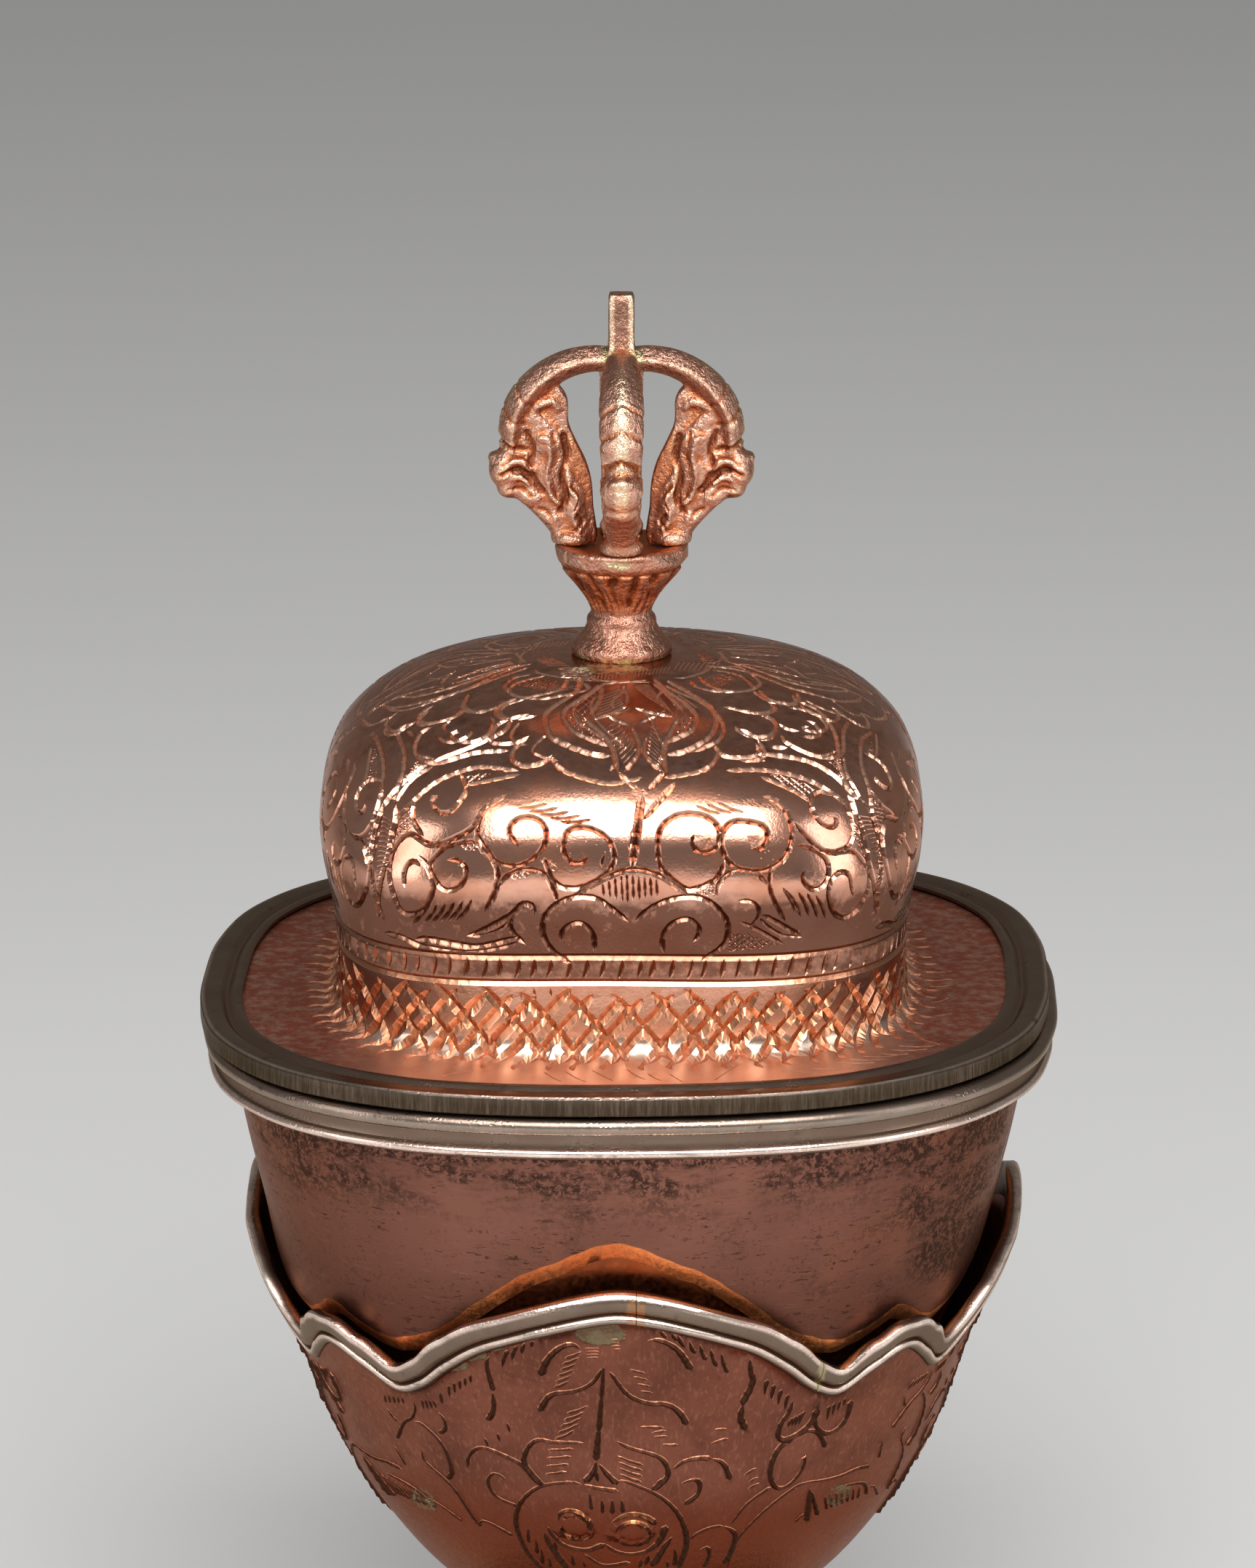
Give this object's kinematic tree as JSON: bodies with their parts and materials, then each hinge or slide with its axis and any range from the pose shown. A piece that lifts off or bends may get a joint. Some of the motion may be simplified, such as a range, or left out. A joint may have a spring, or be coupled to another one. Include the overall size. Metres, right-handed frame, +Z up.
{
  "type": "skull cup",
  "caption": "Lidded skull cup in engraved copper with white metal trim, a half-vajra finial, and a footed holder with a wavy rim.",
  "frame": {"origin": "centre of the base, at the middle of the whole object's box on the table it stands on", "axes": "+Z up through the finial, -Y towards the front that the picture shows, +X to the viewer's right"},
  "size_m": [0.1048, 0.105, 0.2023],
  "materials": {
    "copper": "polished",
    "brown_copper": "satin",
    "white_metal": "satin"
  },
  "bodies": {
    "stand": {"foot_rim": "white_metal", "foot_cone": "copper", "stem": "copper", "holder_cup": "copper", "holder_trim_short": "white_metal", "holder_trim_long": "white_metal"},
    "cup": {"cup_body": "brown_copper", "cup_skin": "brown_copper", "rim_band": "white_metal"},
    "lid": {"lid_ring": "white_metal", "lid_sheet": "copper", "lid_collar": "copper", "finial_stem": "copper", "finial_core": "copper", "prong_right": "copper", "prong_back": "copper", "prong_left": "copper", "prong_front": "copper"}
  },
  "joints": [
    {"name": "cup_lift", "type": "slide", "parent": "stand", "child": "cup", "axis": [0, 0, 1], "range_m": [0, 0.07]},
    {"name": "lid_lift", "type": "slide", "parent": "cup", "child": "lid", "axis": [0, 0, 1], "range_m": [0, 0.06]}
  ]
}
